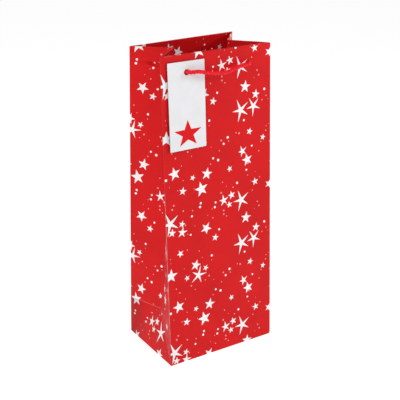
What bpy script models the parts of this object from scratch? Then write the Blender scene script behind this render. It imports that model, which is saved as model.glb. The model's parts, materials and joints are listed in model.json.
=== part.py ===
"""A bottle gift bag of laminated paper, standing open, with cord handles and a gift tag.

The frame: X to the right along the front, Y to the back, Z up. The origin is the middle of the base, on the
surface that the bag stands on. The front panel faces -Y. Lengths are metres.

The bag's body is one folded and glued sheet. Each of its areas between folds is an object here: the panels,
the two halves of each gusset, the turned-in hem at the mouth, the flaps that make the base and the seam tab.
The stiffening cards, the base board, the two cords and the tag are separate pieces on the real bag too.
"""

import math

import bmesh
import bpy
import numpy as np
from mathutils import Vector

# Driving dimensions
WIDTH = 0.130
DEPTH = 0.090
HEIGHT = 0.330
PAPER = 0.0004
GAP = 0.0003

# The panels lean towards each other, so the mouth is narrower than the base: the distance from the middle
# plane, y = 0, to each panel's outer face at the top edge.
FRONT_MOUTH = 0.031
BACK_MOUTH_LEFT = 0.030
BACK_MOUTH_RIGHT = 0.038

# The stiffening cards and the hem that is folded in over them
CARD = 0.0008
CARD_DROP = 0.038
HEM_DROP = 0.040
HEM_PAPER = 0.0003
TOP_MARGIN = 0.001

# The base, from the floor up: front flap, back flap, side flaps, board
FLAP_STEP = PAPER + 0.0004
FLAP_OVERLAP = 0.012
SIDE_FLAP_REACH = 0.042
SIDE_FLAP_TAPER = 0.012
BOARD = 0.0015
BOARD_LENGTH = 0.124
BOARD_DEPTH = 0.084
BOARD_CORNER = 0.003

# The seam tab, glued inside the front panel
TAB_START = 0.0045
TAB_WIDTH = 0.0115
TAB_FOOT = 0.005

# The cords and the punched holes that they pass through
CORD = 0.0035
HOLE_X = 0.0365
HOLE_Z = HEIGHT - 0.017
HOLE_RADIUS = 0.0026
CORD_POINT_STEP = 2.5 * CORD
KNOT_RADIUS = 0.0042
KNOT_HEIGHT = 0.0085

# The gift tag
TAG_WIDTH = 0.042
TAG_HEIGHT = 0.088
TAG_CARD = 0.0005
TAG_STAND_OFF = 0.001
TAG_X = -0.037
TAG_TOP = HEIGHT - 0.0067
TAG_HOLE_RADIUS = 0.0030
TAG_HOLE_DROP = 0.0005

# Gaps that the folded edges need between the flat solids on their two sides
CORNER_TRIM = 0.0013
CREASE_TRIM = 0.0003
HEM_CORNER_TRIM = 0.008

# Heights at which the gussets' curve is followed
GUSSET_ROWS = (GAP, 0.020, DEPTH / 2, 0.070, 0.100, 0.140, 0.190, 0.240, 0.290, 0.310, HEIGHT)
GUSSET_COLUMNS = 4

RED = (0.60, 0.022, 0.026, 1.0)
PAPER_WHITE = (0.86, 0.85, 0.83, 1.0)
GREYBOARD = (0.52, 0.48, 0.42, 1.0)
CORD_RED = (0.45, 0.012, 0.020, 1.0)
TAG_WHITE = (0.80, 0.80, 0.82, 1.0)


def clear_scene():
    """Removes every object that the file opened with."""
    for obj in list(bpy.data.objects):
        bpy.data.objects.remove(obj, do_unlink=True)


def finish_object(obj, colour, roughness):
    """Gives the object a material of its own and shades it."""
    material = bpy.data.materials.new(obj.name)
    material.use_nodes = True
    shader = material.node_tree.nodes["Principled BSDF"]
    shader.inputs["Base Color"].default_value = colour
    shader.inputs["Roughness"].default_value = roughness
    shader.inputs["Metallic"].default_value = 0.0
    material.diffuse_color = colour
    obj.data.materials.append(material)
    return obj


def add_mesh(name, verts, faces, origin, colour, roughness):
    """An object from world points and faces, with its own origin at the given place and its faces outward."""
    mesh = bpy.data.meshes.new(name)
    mesh.from_pydata([tuple(Vector(v) - Vector(origin)) for v in verts], [], faces)
    tidy = bmesh.new()
    tidy.from_mesh(mesh)
    bmesh.ops.recalc_face_normals(tidy, faces=tidy.faces)
    tidy.to_mesh(mesh)
    tidy.free()
    obj = bpy.data.objects.new(name, mesh)
    obj.location = origin
    bpy.context.collection.objects.link(obj)
    return finish_object(obj, colour, roughness)


def sheet(name, outer, inner, colour, roughness=0.35):
    """A closed sheet between two grids of points, each of rows by columns by 3. Both faces are split into
    triangles along the same diagonals, so that they stay parallel where the sheet is twisted."""
    rows, columns = outer.shape[:2]
    verts = [*outer.reshape(-1, 3), *inner.reshape(-1, 3)]
    index = np.arange(rows * columns).reshape(rows, columns)
    back = rows * columns
    faces = []
    for row in range(rows - 1):
        for column in range(columns - 1):
            low, high = index[row, column : column + 2], index[row + 1, column : column + 2]
            for corners in ((low[0], low[1], high[1]), (low[0], high[1], high[0])):
                triangle = [int(corner) for corner in corners]
                faces.append(triangle)
                faces.append([back + corner for corner in reversed(triangle)])
    rim = [*index[0, :], *index[1:, -1], *index[-1, -2::-1], *index[-2:0:-1, 0]]
    for here, there in zip(rim, rim[1:] + rim[:1]):
        faces.append([int(there), int(here), back + int(here), back + int(there)])
    return add_mesh(name, verts, faces, (0, 0, 0), colour, roughness)


def plate(name, outline, low, high, origin, colour, roughness=0.6):
    """A flat plate: an outline in X and Y, from one height to another."""
    count = len(outline)
    verts = [(x, y, low) for x, y in outline] + [(x, y, high) for x, y in outline]
    faces = [list(range(count))[::-1], list(range(count, 2 * count))]
    for here in range(count):
        there = (here + 1) % count
        faces.append([here, there, count + there, count + here])
    return add_mesh(name, verts, faces, origin, colour, roughness)


def punch(obj, centre, radius, reach):
    """Cuts a round hole along Y through the object."""
    tool = bmesh.new()
    bmesh.ops.create_cone(
        tool, cap_ends=True, segments=16, radius1=radius, radius2=radius, depth=reach
    )
    mesh = bpy.data.meshes.new(obj.name + "_punch")
    tool.to_mesh(mesh)
    tool.free()
    cutter = bpy.data.objects.new(mesh.name, mesh)
    cutter.location = centre
    cutter.rotation_euler = (math.pi / 2, 0, 0)
    cutter.hide_render = True
    cutter.display_type = "WIRE"
    bpy.context.collection.objects.link(cutter)
    cut = obj.modifiers.new(cutter.name, "BOOLEAN")
    cut.operation = "DIFFERENCE"
    cut.solver = "EXACT"
    cut.object = cutter


# ---- the folded sheet's geometry


def panel_depth(side, x, z):
    """Distance of a panel's outer face from the middle plane. side is -1 for the front and 1 for the back."""
    if side < 0:
        mouth = FRONT_MOUTH
    else:
        share = (x + WIDTH / 2) / WIDTH
        mouth = BACK_MOUTH_LEFT + (BACK_MOUTH_RIGHT - BACK_MOUTH_LEFT) * share
    return DEPTH / 2 - (DEPTH / 2 - mouth) * z / HEIGHT


def panel_point(side, x, z, inset):
    """A point a given distance inside a panel's outer face, or outside it where inset is negative."""
    return (x, side * (panel_depth(side, x, z) - inset), z)


def panel_sheet(name, side, x_from, x_to, z_from, z_to, inset, thickness, colour):
    """A sheet that follows a panel, at a given distance inside its outer face."""
    columns = np.linspace(x_from, x_to, 5)
    rows = np.linspace(z_from, z_to, 6)

    def grid(depth):
        return np.array([[panel_point(side, x, z, depth) for x in columns] for z in rows])

    return sheet(name, grid(inset), grid(inset + thickness), colour)


def crease_point(side, z):
    """The gusset's middle crease. Each half of a gusset is half the bag's depth wide, so the crease goes inwards
    as the panels come together: below the height of half the depth it lies on the flat triangle over the base."""
    edge_x = side * WIDTH / 2
    knee = DEPTH / 2

    def inset_at(height):
        half_gap = (panel_depth(-1, edge_x, height) + panel_depth(1, edge_x, height)) / 2
        return math.sqrt(max(knee**2 - half_gap**2, 0.0))

    inset = inset_at(z) if z > knee else inset_at(knee) * z / knee
    middle = (panel_depth(1, edge_x, z) - panel_depth(-1, edge_x, z)) / 2
    return np.array([side * (WIDTH / 2 - inset), middle, z])


def gusset_half(name, side, end, rows, trims, inset, thickness, colour):
    """One half of a gusset, from its panel's edge to the crease. side is -1 left and 1 right, end is -1 front
    and 1 back. trims are the distances left free at the panel's edge and at the crease."""
    outer, inner = [], []
    for z in rows:
        edge = np.array(panel_point(end, side * WIDTH / 2, z, 0.0))
        crease = crease_point(side, z)
        along = (crease - edge) / np.linalg.norm(crease - edge)
        inward = np.array([abs(along[1]) * -side, abs(along[0]) * end, 0.0])
        length = np.linalg.norm(crease - edge)
        distances = np.linspace(trims[0], length - trims[1], GUSSET_COLUMNS)
        stops = [edge + along * distance for distance in distances]
        outer.append([stop + inward * inset for stop in stops])
        inner.append([stop + inward * (inset + thickness) for stop in stops])
    return sheet(name, np.array(outer), np.array(inner), colour)


# ---- cords


def smooth_route(points, step):
    """Points about one step apart along a smooth curve through the route's own points (Catmull-Rom)."""
    route = [Vector(p) for p in points]
    route = [2 * route[0] - route[1], *route, 2 * route[-1] - route[-2]]
    curve = [route[1]]
    for a, b, c, d in zip(route, route[1:], route[2:], route[3:]):
        pieces = max(1, round((c - b).length / step))
        for piece in range(1, pieces + 1):
            t = piece / pieces
            curve.append(
                0.5
                * (
                    2 * b
                    + (c - a) * t
                    + (2 * a - 5 * b + 4 * c - d) * t**2
                    + (3 * b - a - 3 * c + d) * t**3
                )
            )
    return curve


def cord(name, points, origin):
    """A round cord along a smooth route, as a bevelled curve with closed ends."""
    curve = bpy.data.curves.new(name, "CURVE")
    curve.dimensions = "3D"
    curve.bevel_depth = CORD / 2
    curve.bevel_resolution = 2
    curve.use_fill_caps = True
    line = smooth_route(points, CORD_POINT_STEP)
    spline = curve.splines.new("POLY")
    spline.points.add(len(line) - 1)
    for place, point in zip(spline.points, line):
        place.co = (*(point - Vector(origin)), 1.0)
    obj = bpy.data.objects.new(name, curve)
    obj.location = origin
    bpy.context.collection.objects.link(obj)
    return finish_object(obj, CORD_RED, 0.6)


def knot(name, centre):
    """The overhand knot at a cord's end, as its outer shape."""
    ball = bmesh.new()
    bmesh.ops.create_uvsphere(ball, u_segments=12, v_segments=8, radius=KNOT_RADIUS)
    bmesh.ops.scale(
        ball, verts=ball.verts, vec=(1.0, 1.0, KNOT_HEIGHT / (2 * KNOT_RADIUS))
    )
    mesh = bpy.data.meshes.new(name)
    ball.to_mesh(mesh)
    ball.free()
    mesh.shade_smooth()
    obj = bpy.data.objects.new(name, mesh)
    obj.location = centre
    bpy.context.collection.objects.link(obj)
    return finish_object(obj, CORD_RED, 0.6)


# A tail's route from its hole: towards the middle of the bag, out from the panel and up, in millimetres. It
# starts where the loop ends, turns into the hole, passes the panel, card and hem, and hangs inside.
TAIL_ROUTE = (
    (7.0, 7.5, 0.0),
    (6.0, 7.5, 0.0),
    (3.8, 6.8, 0.0),
    (1.8, 5.3, 0.0),
    (0.5, 3.1, 0.0),
    (0.0, 0.5, 0.0),
    (0.0, -2.5, 0.0),
    (0.0, -5.2, -0.6),
    (0.0, -7.5, -2.2),
    (0.2, -9.0, -4.8),
    (0.4, -9.6, -8.0),
    (0.9, -10.0, -20.0),
    (1.8, -10.2, -40.0),
    (2.1, -10.0, -62.0),
    (1.6, -9.8, -84.0),
)

# A loop's route between the two tails' outer ends: along the front from the left end, and up, in millimetres
LOOP_ROUTE = (
    (0.0, 0.0),
    (2.0, 0.0),
    (9.5, -1.7),
    (19.5, -4.0),
    (29.5, -5.4),
    (37.0, -5.5),
    (43.5, -4.4),
    (50.0, -2.2),
    (57.0, 0.0),
    (59.0, 0.0),
)


def hole_centre(panel, x):
    """The centre of a punched hole, on the panel's outer face."""
    return Vector(panel_point(panel, x, HOLE_Z, 0.0))


def tail_points(panel, hand):
    """A tail's route in world coordinates. panel is -1 front and 1 back, hand is -1 left and 1 right."""
    hole = hole_centre(panel, hand * HOLE_X)
    return [
        hole + Vector((-hand * inward, panel * outward, up)) / 1000
        for inward, outward, up in TAIL_ROUTE
    ]


def add_handle(side_name, panel):
    """One cord handle: the loop outside the panel, two tails through the holes and a knot on each tail."""
    ends = {}
    for hand_name, hand in (("left", -1), ("right", 1)):
        route = tail_points(panel, hand)
        ends[hand] = route[0]
        cord(f"{side_name}_cord_{hand_name}_tail", route, route[0])
        below = Vector((0, 0, GAP + KNOT_HEIGHT / 2))
        knot(f"{side_name}_cord_{hand_name}_knot", route[-1] - below)
    start, stop = ends[-1], ends[1]
    along = (stop - start).normalized()
    start, stop = start + along * GAP, stop - along * GAP
    share = (stop - start).length / (LOOP_ROUTE[-1][0] / 1000)
    points = [
        start + along * (run * share / 1000) + Vector((0, 0, up / 1000))
        for run, up in LOOP_ROUTE
    ]
    cord(f"{side_name}_cord_loop", points, start)


# ---- the bag, piece by piece


def add_panels():
    """The front and back panels, with the cord holes punched."""
    half = WIDTH / 2 - GAP
    for name, side in (("front_panel", -1), ("back_panel", 1)):
        panel = panel_sheet(name, side, -half, half, 0.0, HEIGHT, 0.0, PAPER, RED)
        punch_cord_holes(panel, side)


def punch_cord_holes(obj, side):
    """Both cord holes of a panel, or of the card or hem behind it."""
    for x in (-HOLE_X, HOLE_X):
        punch(obj, hole_centre(side, x), HOLE_RADIUS, 0.012)


def add_gussets():
    """The four gusset halves."""
    for side_name, side in (("left", -1), ("right", 1)):
        for end_name, end in (("front", -1), ("back", 1)):
            gusset_half(
                f"{side_name}_gusset_{end_name}_half",
                side,
                end,
                GUSSET_ROWS,
                (CORNER_TRIM, CREASE_TRIM),
                0.0,
                PAPER,
                RED,
            )


def add_mouth():
    """The stiffening cards and the hem that is folded in at the mouth."""
    card_inset = PAPER + GAP
    hem_inset = card_inset + CARD + GAP
    top = HEIGHT - TOP_MARGIN
    for name, side in (("front", -1), ("back", 1)):
        half = WIDTH / 2 - 0.0025
        low = HEIGHT - CARD_DROP
        card = panel_sheet(
            f"{name}_top_card", side, -half, half, low, top, card_inset, CARD, GREYBOARD
        )
        punch_cord_holes(card, side)
        half = WIDTH / 2 - 0.0038
        low = HEIGHT - HEM_DROP
        hem = panel_sheet(
            f"{name}_top_hem", side, -half, half, low, top, hem_inset, HEM_PAPER, RED
        )
        punch_cord_holes(hem, side)
    rows = np.linspace(HEIGHT - HEM_DROP, top, 3)
    for side_name, side in (("left", -1), ("right", 1)):
        for end_name, end in (("front", -1), ("back", 1)):
            gusset_half(
                f"{side_name}_gusset_{end_name}_hem",
                side,
                end,
                rows,
                (HEM_CORNER_TRIM, CREASE_TRIM),
                PAPER + GAP,
                HEM_PAPER,
                RED,
            )


def add_seam_tab():
    """The tab on the left gusset's front edge, glued inside the front panel."""
    start = -WIDTH / 2 + TAB_START
    panel_sheet(
        "side_seam_tab",
        -1,
        start,
        start + TAB_WIDTH,
        TAB_FOOT,
        HEIGHT - HEM_DROP - 0.002,
        PAPER + GAP,
        HEM_PAPER,
        PAPER_WHITE,
    )


def add_base():
    """The flaps that close the base, one over another, and the loose board that lies on them."""
    half_x = WIDTH / 2 - 0.0015
    half_y = DEPTH / 2 - 0.001
    for name, side, low in (
        ("front_base_flap", -1, 0.0),
        ("back_base_flap", 1, FLAP_STEP),
    ):
        waist = half_x - half_y
        outline = [
            (-half_x, side * half_y),
            (half_x, side * half_y),
            (waist, 0.0),
            (waist, -side * FLAP_OVERLAP),
            (-waist, -side * FLAP_OVERLAP),
            (-waist, 0.0),
        ]
        plate(name, outline, low, low + PAPER, (0, 0, 0), RED)
    low = 2 * FLAP_STEP
    for name, side in (("left_base_flap", -1), ("right_base_flap", 1)):
        reach = half_x - SIDE_FLAP_REACH
        outline = [
            (side * half_x, -half_y),
            (side * half_x, half_y),
            (side * reach, half_y - SIDE_FLAP_TAPER),
            (side * reach, -half_y + SIDE_FLAP_TAPER),
        ]
        plate(name, outline, low, low + PAPER, (0, 0, 0), RED)
    low = 3 * FLAP_STEP
    outline = rounded_rectangle(BOARD_LENGTH, BOARD_DEPTH, BOARD_CORNER)
    plate("base_board", outline, low, low + BOARD, (0, 0, low), GREYBOARD)


def rounded_rectangle(length, depth, radius):
    """The outline of a rectangle with rounded corners, about the origin."""
    outline = []
    for turn, (x, y) in enumerate(((1, 1), (-1, 1), (-1, -1), (1, -1))):
        for step in range(4):
            angle = math.pi / 2 * (turn + step / 3)
            centre = (x * (length / 2 - radius), y * (depth / 2 - radius))
            outline.append(
                (
                    centre[0] + radius * math.cos(angle),
                    centre[1] + radius * math.sin(angle),
                )
            )
    return outline


def add_tag():
    """The gift tag, hanging on the left end of the front cord, flat against the front panel."""
    pivot = Vector(panel_point(-1, -HOLE_X, HOLE_Z, -TAG_STAND_OFF))
    columns = (TAG_X - TAG_WIDTH / 2, TAG_X + TAG_WIDTH / 2)
    rows = (TAG_TOP - TAG_HEIGHT, TAG_TOP)

    def grid(off):
        return [panel_point(-1, x, z, -off) for z in rows for x in columns]

    verts = grid(TAG_STAND_OFF + TAG_CARD) + grid(TAG_STAND_OFF)
    faces = [
        [0, 1, 3, 2],
        [4, 6, 7, 5],
        [0, 4, 5, 1],
        [1, 5, 7, 3],
        [3, 7, 6, 2],
        [2, 6, 4, 0],
    ]
    tag = add_mesh("gift_tag", verts, faces, pivot, TAG_WHITE, 0.5)
    punch(tag, pivot - Vector((0, 0, TAG_HOLE_DROP)), TAG_HOLE_RADIUS, 0.006)


def main():
    clear_scene()
    add_panels()
    add_gussets()
    add_mouth()
    add_seam_tab()
    add_base()
    add_handle("front", -1)
    add_handle("back", 1)
    add_tag()


main()
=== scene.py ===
"""The looks of a bottle gift bag: star-printed laminated paper, twisted cord handles and a gift tag.

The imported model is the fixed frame: X runs to the right along the front, Y to the back, Z up, in metres. The
bag's body is one sheet here, as it is on the real bag. It is cut and printed flat, in the flat sheet's own
coordinates, and then folded by a formula. In those coordinates s runs round the bag from the front panel's
left edge, over the front, the right gusset, the back and the left gusset, and t runs up from the base.
"""

import json
import logging
import math
from dataclasses import dataclass, field
from enum import Enum
from typing import Callable

import bpy
import numpy as np
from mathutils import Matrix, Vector
from mathutils.geometry import delaunay_2d_cdt


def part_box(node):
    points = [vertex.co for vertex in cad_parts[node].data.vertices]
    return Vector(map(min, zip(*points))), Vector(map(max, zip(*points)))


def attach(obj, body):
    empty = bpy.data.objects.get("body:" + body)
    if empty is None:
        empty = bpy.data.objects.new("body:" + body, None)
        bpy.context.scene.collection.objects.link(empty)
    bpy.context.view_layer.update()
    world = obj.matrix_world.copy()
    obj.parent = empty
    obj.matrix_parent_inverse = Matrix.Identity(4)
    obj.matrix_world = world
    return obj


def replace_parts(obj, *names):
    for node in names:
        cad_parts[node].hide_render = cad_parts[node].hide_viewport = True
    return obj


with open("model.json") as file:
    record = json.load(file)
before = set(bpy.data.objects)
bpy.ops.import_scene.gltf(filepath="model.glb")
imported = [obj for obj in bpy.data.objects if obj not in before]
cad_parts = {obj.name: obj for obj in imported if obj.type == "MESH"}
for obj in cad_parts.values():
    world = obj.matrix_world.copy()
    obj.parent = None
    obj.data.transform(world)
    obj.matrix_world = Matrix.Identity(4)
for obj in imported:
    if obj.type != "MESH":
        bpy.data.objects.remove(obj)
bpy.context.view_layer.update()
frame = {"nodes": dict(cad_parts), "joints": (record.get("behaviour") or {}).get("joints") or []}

LOG = logging.getLogger("gift_bag")
MM = 0.001
Shape = Callable[[np.ndarray, np.ndarray], np.ndarray]


# ---- finishes


class Ink(Enum):
    """The inks of the print, in the order of the sheet's material slots."""

    RED = 0
    WHITE = 1
    PINK = 2


class Recipe:
    """A material that is being put together, node by node."""

    def __init__(self, name: str) -> None:
        """Starts a material with one Principled shader."""
        self.material = bpy.data.materials.new(name)
        self.material.use_nodes = True
        self.tree = self.material.node_tree
        self.shader = self.tree.nodes["Principled BSDF"]

    def node(self, kind: str, **settings: object) -> bpy.types.Node:
        """Adds a node and sets its properties."""
        made = self.tree.nodes.new(kind)
        for name, value in settings.items():
            setattr(made, name, value)
        return made

    def feed(self, target: bpy.types.NodeSocket, value: object) -> None:
        """Links a socket to the target, or sets the target's own value."""
        if isinstance(value, bpy.types.NodeSocket):
            self.tree.links.new(value, target)
        else:
            target.default_value = value

    def place(self, kind: str = "Object") -> bpy.types.NodeSocket:
        """The Object or UV coordinates."""
        return self.node("ShaderNodeTexCoord").outputs[kind]

    def split(self, vector: bpy.types.NodeSocket) -> bpy.types.NodeOutputs:
        """The three components of a vector."""
        parts = self.node("ShaderNodeSeparateXYZ")
        self.feed(parts.inputs[0], vector)
        return parts.outputs

    def stretch(
        self, vector: bpy.types.NodeSocket, scale: tuple[float, float, float]
    ) -> bpy.types.NodeSocket:
        """The vector scaled along each axis."""
        mapping = self.node("ShaderNodeMapping")
        self.feed(mapping.inputs["Vector"], vector)
        mapping.inputs["Scale"].default_value = scale
        return mapping.outputs[0]

    def noise(
        self, vector: bpy.types.NodeSocket, scale: float, detail: float = 2.0, rough: float = 0.5
    ) -> bpy.types.NodeSocket:
        """Noise of a given scale, from 0 to 1."""
        texture = self.node("ShaderNodeTexNoise")
        self.feed(texture.inputs["Vector"], vector)
        texture.inputs["Scale"].default_value = scale
        texture.inputs["Detail"].default_value = detail
        texture.inputs["Roughness"].default_value = rough
        return texture.outputs[0]

    def math(self, operation: str, a: object, b: object = 0.0, c: object = 0.0) -> bpy.types.NodeSocket:
        """One step of arithmetic on up to three numbers."""
        step = self.node("ShaderNodeMath", operation=operation)
        for target, value in zip(step.inputs, (a, b, c)):
            self.feed(target, value)
        return step.outputs[0]

    def ramp(
        self, value: object, low: float, high: float, out_low: float = 0.0, out_high: float = 1.0
    ) -> bpy.types.NodeSocket:
        """A smooth step: the value's range from low to high becomes the range from out_low to out_high."""
        step = self.node("ShaderNodeMapRange", interpolation_type="SMOOTHSTEP")
        for target, number in zip(step.inputs, (value, low, high, out_low, out_high)):
            self.feed(target, number)
        return step.outputs[0]

    def mix(self, share: object, first: object, second: object) -> bpy.types.NodeSocket:
        """A mix of two colours."""
        blend = self.node("ShaderNodeMix", data_type="RGBA")
        for target, value in zip((blend.inputs[0], blend.inputs[6], blend.inputs[7]), (share, first, second)):
            self.feed(target, value)
        return blend.outputs[2]

    def bump(self, height: bpy.types.NodeSocket, distance: float, strength: float = 1.0) -> None:
        """Raises the surface by the height times a distance in metres."""
        relief = self.node("ShaderNodeBump")
        relief.inputs["Strength"].default_value = strength
        relief.inputs["Distance"].default_value = distance
        self.feed(relief.inputs["Height"], height)
        self.feed(self.shader.inputs["Normal"], relief.outputs[0])

    def set(self, **values: object) -> None:
        """Sets or links the shader's own sockets. An underscore in a name stands for a space."""
        for name, value in values.items():
            self.feed(self.shader.inputs[name.replace("_", " ")], value)


Colour = tuple[float, float, float, float]


@dataclass(frozen=True)
class LaminatedPrint:
    """Printed art paper under a satin film, which reads the flat sheet's own coordinates from its UV map."""

    folds: tuple[float, ...]
    knee: float
    mouth: float
    back_edge: float
    colours: tuple[Colour, Colour, Colour] = (
        (0.640, 0.0065, 0.0085, 1.0),
        (0.900, 0.890, 0.895, 1.0),
        (0.830, 0.330, 0.320, 1.0),
    )
    bare: Colour = (0.90, 0.62, 0.58, 1.0)
    thick_tone: float = 0.90
    # how far the painted shade under the knee at the left gusset's back edge darkens the colour
    painted_shade_tone: float = 0.54
    gloss: float = 0.115
    roughness: float = 0.34
    worn_from: float = 0.030
    worn_to: float = 0.190

    def material(self, ink: Ink) -> bpy.types.Material:
        """The finish in one ink: even colour with slow changes in density, painted shade under the knee at the
        left gusset's back edge, a pale worn line along each fold, and the film's faint unevenness as bump and
        as roughness.

        Args:
            ink: The ink that this area is printed in.

        Returns:
            The material.
        """
        recipe = Recipe(f"laminated_print_{ink.name.lower()}")
        sheet = recipe.place("UV")
        density = recipe.noise(sheet, 22.0, 3.0, 0.55)
        colour = self.colours[ink.value]
        deep = (*(channel * self.thick_tone for channel in colour[:3]), 1.0)
        painted = recipe.mix(recipe.ramp(density, 0.30, 0.70), deep, colour)
        # painted shade: the colour is darkened under the knee at the left gusset's back edge, where that facet
        # faces down and back
        painted_shade_share = self._painted_shade(recipe, sheet)
        painted_shade_colour = (*(channel * self.painted_shade_tone for channel in colour[:3]), 1.0)
        painted = recipe.mix(painted_shade_share, painted, painted_shade_colour)
        worn = self._wear(recipe, sheet)
        recipe.set(
            Base_Color=recipe.mix(worn, painted, self.bare),
            Roughness=recipe.ramp(recipe.noise(sheet, 60.0, 4.0, 0.6), 0.25, 0.75, self.roughness, 0.46),
            Specular_IOR_Level=self.gloss,
        )
        fibre = recipe.noise(sheet, 900.0, 3.0, 0.6)
        wave = recipe.noise(sheet, 34.0, 2.0, 0.4)
        recipe.bump(recipe.math("MULTIPLY_ADD", wave, 7.0, fibre), 0.000035, 0.55)
        return recipe.material

    def _painted_shade(self, recipe: Recipe, sheet: bpy.types.NodeSocket) -> bpy.types.NodeSocket:
        """How much painted shade darkens the colour, from 0 to 1: under the knee at the left gusset's back
        edge, where that facet faces down and back, and fading out towards the middle crease."""
        round_bag, up, _ = recipe.split(sheet)
        below = recipe.ramp(up, self.knee - 0.0006, self.knee, 1.0, 0.0)
        inside = recipe.ramp(round_bag, self.back_edge - 0.0002, self.back_edge + 0.0002)
        fading = recipe.ramp(round_bag, self.back_edge + 0.004, self.back_edge + 0.032, 0.62, 0.0)
        return recipe.math("MULTIPLY", recipe.math("MULTIPLY", below, inside), fading)

    def _wear(self, recipe: Recipe, sheet: bpy.types.NodeSocket) -> bpy.types.NodeSocket:
        """How far the ink is worn off, from 0 to 1: thin broken lines on the folds, and a stronger one low on
        the front panel's left edge, where the sheet's cut edge lies over the fold."""
        round_bag, up, _ = recipe.split(sheet)
        lines = None
        for place in self.folds:
            near = recipe.math("ABSOLUTE", recipe.math("SUBTRACT", round_bag, place))
            line = recipe.ramp(near, 0.00010, 0.00055, 1.0, 0.0)
            lines = line if lines is None else recipe.math("MAXIMUM", lines, line)
        broken = recipe.ramp(recipe.noise(sheet, 210.0, 3.0, 0.7), 0.50, 0.72, 0.0, 0.30)
        lines = recipe.math("MULTIPLY", lines, broken)
        seam = recipe.ramp(recipe.math("ABSOLUTE", round_bag), 0.00025, 0.00065, 0.75, 0.0)
        low = recipe.ramp(up, self.worn_from - 0.020, self.worn_from + 0.010)
        high = recipe.ramp(up, self.worn_to - 0.030, self.worn_to + 0.020, 1.0, 0.12)
        patchy = recipe.ramp(recipe.noise(sheet, 120.0, 4.0, 0.75), 0.34, 0.62, 0.20, 0.80)
        reach = recipe.math("MULTIPLY", low, high)
        seam = recipe.math("MULTIPLY", recipe.math("MULTIPLY", seam, patchy), reach)
        knee = recipe.math("ABSOLUTE", recipe.math("SUBTRACT", up, self.knee))
        crease = recipe.math(
            "MULTIPLY",
            recipe.ramp(knee, 0.00015, 0.00050, 0.16, 0.0),
            recipe.ramp(round_bag, self.back_edge + 0.006, self.back_edge + 0.018),
        )
        rim = recipe.math("ABSOLUTE", recipe.math("SUBTRACT", up, self.mouth))
        rim = recipe.math("MULTIPLY", recipe.ramp(rim, 0.0002, 0.0009, 0.7, 0.0), broken)
        lines = recipe.math("MAXIMUM", lines, rim)
        return recipe.math("MAXIMUM", recipe.math("MAXIMUM", lines, crease), seam)


@dataclass(frozen=True)
class BarePaper:
    """The sheet's unprinted side and its cut edges: white, dull and finely fibrous."""

    colour: Colour = (0.86, 0.85, 0.83, 1.0)
    shade: Colour = (0.78, 0.76, 0.73, 1.0)

    def material(self) -> bpy.types.Material:
        """The finish as a material."""
        recipe = Recipe("bare_paper")
        place = recipe.place()
        cloud = recipe.noise(place, 140.0, 4.0, 0.65)
        fibre = recipe.noise(recipe.stretch(place, (1.0, 1.0, 0.25)), 2600.0, 3.0, 0.6)
        recipe.set(
            Base_Color=recipe.mix(recipe.ramp(cloud, 0.30, 0.72), self.shade, self.colour),
            Roughness=0.86,
            Specular_IOR_Level=0.2,
        )
        recipe.bump(fibre, 0.00003, 0.5)
        return recipe.material


@dataclass(frozen=True)
class GreyBoard:
    """Recycled grey board: warm grey with flecks and a felted surface."""

    colour: Colour = (0.43, 0.39, 0.33, 1.0)
    pale: Colour = (0.56, 0.52, 0.45, 1.0)
    fleck: Colour = (0.20, 0.17, 0.14, 1.0)

    def material(self) -> bpy.types.Material:
        """The finish as a material."""
        recipe = Recipe("grey_board")
        place = recipe.place()
        cloud = recipe.mix(recipe.ramp(recipe.noise(place, 90.0, 5.0, 0.7), 0.3, 0.7), self.colour, self.pale)
        flecks = recipe.ramp(recipe.noise(place, 900.0, 2.0, 0.5), 0.66, 0.72)
        recipe.set(Base_Color=recipe.mix(flecks, cloud, self.fleck), Roughness=0.92, Specular_IOR_Level=0.15)
        recipe.bump(recipe.noise(place, 1500.0, 4.0, 0.65), 0.00008, 0.6)
        return recipe.material


@dataclass(frozen=True)
class TagCard:
    """Smooth white card, with one flat red ink for its star."""

    white: Colour = (0.760, 0.765, 0.785, 1.0)
    red: Colour = (0.690, 0.007, 0.010, 1.0)

    def material(self, ink: Ink) -> bpy.types.Material:
        """The card's own white, or its red ink."""
        recipe = Recipe(f"tag_card_{ink.name.lower()}")
        place = recipe.place()
        colour = self.red if ink is Ink.RED else self.white
        deep = (*(channel * 0.955 for channel in colour[:3]), 1.0)
        cloud = recipe.ramp(recipe.noise(place, 75.0, 3.0, 0.6), 0.3, 0.7)
        gloss = 0.10 if ink is Ink.RED else 0.28
        recipe.set(Base_Color=recipe.mix(cloud, deep, colour), Roughness=0.55, Specular_IOR_Level=gloss)
        recipe.bump(recipe.noise(place, 2200.0, 3.0, 0.6), 0.00002, 0.5)
        return recipe.material


@dataclass(frozen=True)
class TwistedYarn:
    """Red rayon yarn. The UV map runs round the strands in u, from 0 to 1, and along the cord in v, in
    metres."""

    colour: Colour = (0.960, 0.004, 0.022, 1.0)
    # the colour of the painted shade in the low parts between the filaments
    deep: Colour = (0.600, 0.001, 0.006, 1.0)
    filaments: float = 15.0
    lay: float = 900.0

    def material(self) -> bpy.types.Material:
        """The finish as a material: fine filaments that cross each strand, with painted shade darkening the
        low parts between them and random fuzz.
        """
        recipe = Recipe("twisted_yarn")
        around, along, _ = recipe.split(recipe.place("UV"))
        turns = recipe.math("MULTIPLY_ADD", along, self.lay, recipe.math("MULTIPLY", around, self.filaments))
        wave = recipe.math("SINE", recipe.math("MULTIPLY", turns, 2 * math.pi))
        fuzz = recipe.noise(recipe.place(), 1800.0, 3.0, 0.7)
        height = recipe.math("MULTIPLY_ADD", fuzz, 0.8, recipe.math("MULTIPLY", wave, 0.5))
        # painted shade: the low parts between the filaments take the deep colour, mixed with random fuzz
        shade = recipe.ramp(height, -0.25, 0.75)
        recipe.set(
            Base_Color=recipe.mix(shade, self.deep, self.colour),
            Roughness=0.42,
            Specular_IOR_Level=0.26,
        )
        recipe.bump(height, 0.00010, 0.7)
        return recipe.material


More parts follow.
